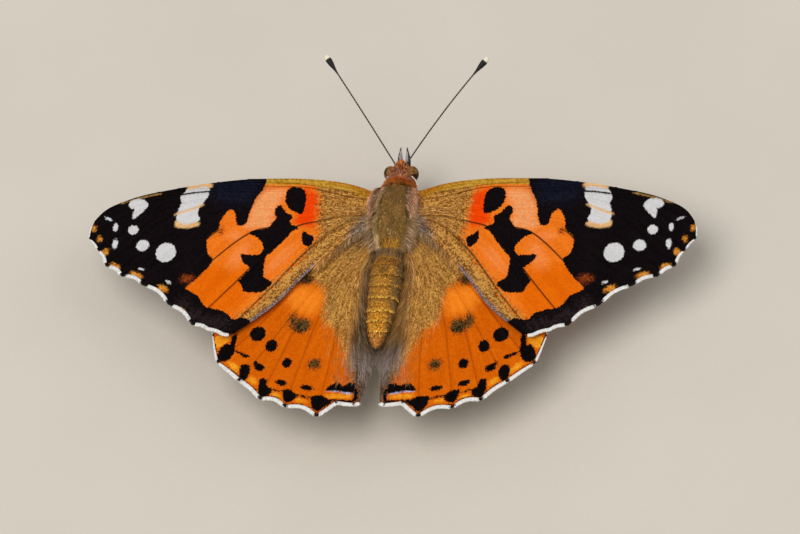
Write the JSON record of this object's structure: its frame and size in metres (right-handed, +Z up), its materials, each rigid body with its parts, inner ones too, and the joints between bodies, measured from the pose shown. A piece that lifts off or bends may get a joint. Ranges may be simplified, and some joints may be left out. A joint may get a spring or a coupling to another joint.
{
  "type": "painted lady butterfly",
  "caption": "Life-size butterfly basking on the ground with orange, black and white wings spread flat, feelers forward and standing on its walking legs.",
  "frame": {"origin": "on the ground, under the middle of the box round the spread wings and body", "axes": "+X towards the butterfly's right wing tip, +Y towards its head, +Z up"},
  "size_m": [0.0624, 0.0386, 0.0109],
  "materials": {
    "body_fur": "short soft olive-brown and tawny hair",
    "abdomen_scales": "flat-lying golden-brown scales with thin yellow rings",
    "forewing_scales": "matt powdery scales: orange, black and white, brown at the root",
    "hindwing_scales": "matt powdery scales: orange with black spots, hairy and brown along the body",
    "eye": "smooth faceted cornea, dull olive with a pale rim",
    "feeler": "dark brown scales with fine pale rings, pale at the club's tip",
    "mouthpart": "brown horny skin, hairy on the palps",
    "leg": "pale buff scales with darker joints and claws"
  },
  "bodies": {
    "root": {"head": "body_fur", "prothorax": "body_fur", "thorax": "body_fur", "abdomen": "abdomen_scales", "eye_left": "eye", "eye_right": "eye", "antenna_left": "feeler", "antenna_right": "feeler", "palp_left": "mouthpart", "palp_right": "mouthpart", "proboscis": "mouthpart", "tegula_left": "body_fur", "tegula_right": "body_fur", "forewing_left": "forewing_scales", "forewing_right": "forewing_scales", "hindwing_left": "hindwing_scales", "hindwing_right": "hindwing_scales", "foreleg_left": "leg", "foreleg_right": "leg", "midleg_left": "leg", "midleg_right": "leg", "hindleg_left": "leg", "hindleg_right": "leg"}
  },
  "joints": []
}
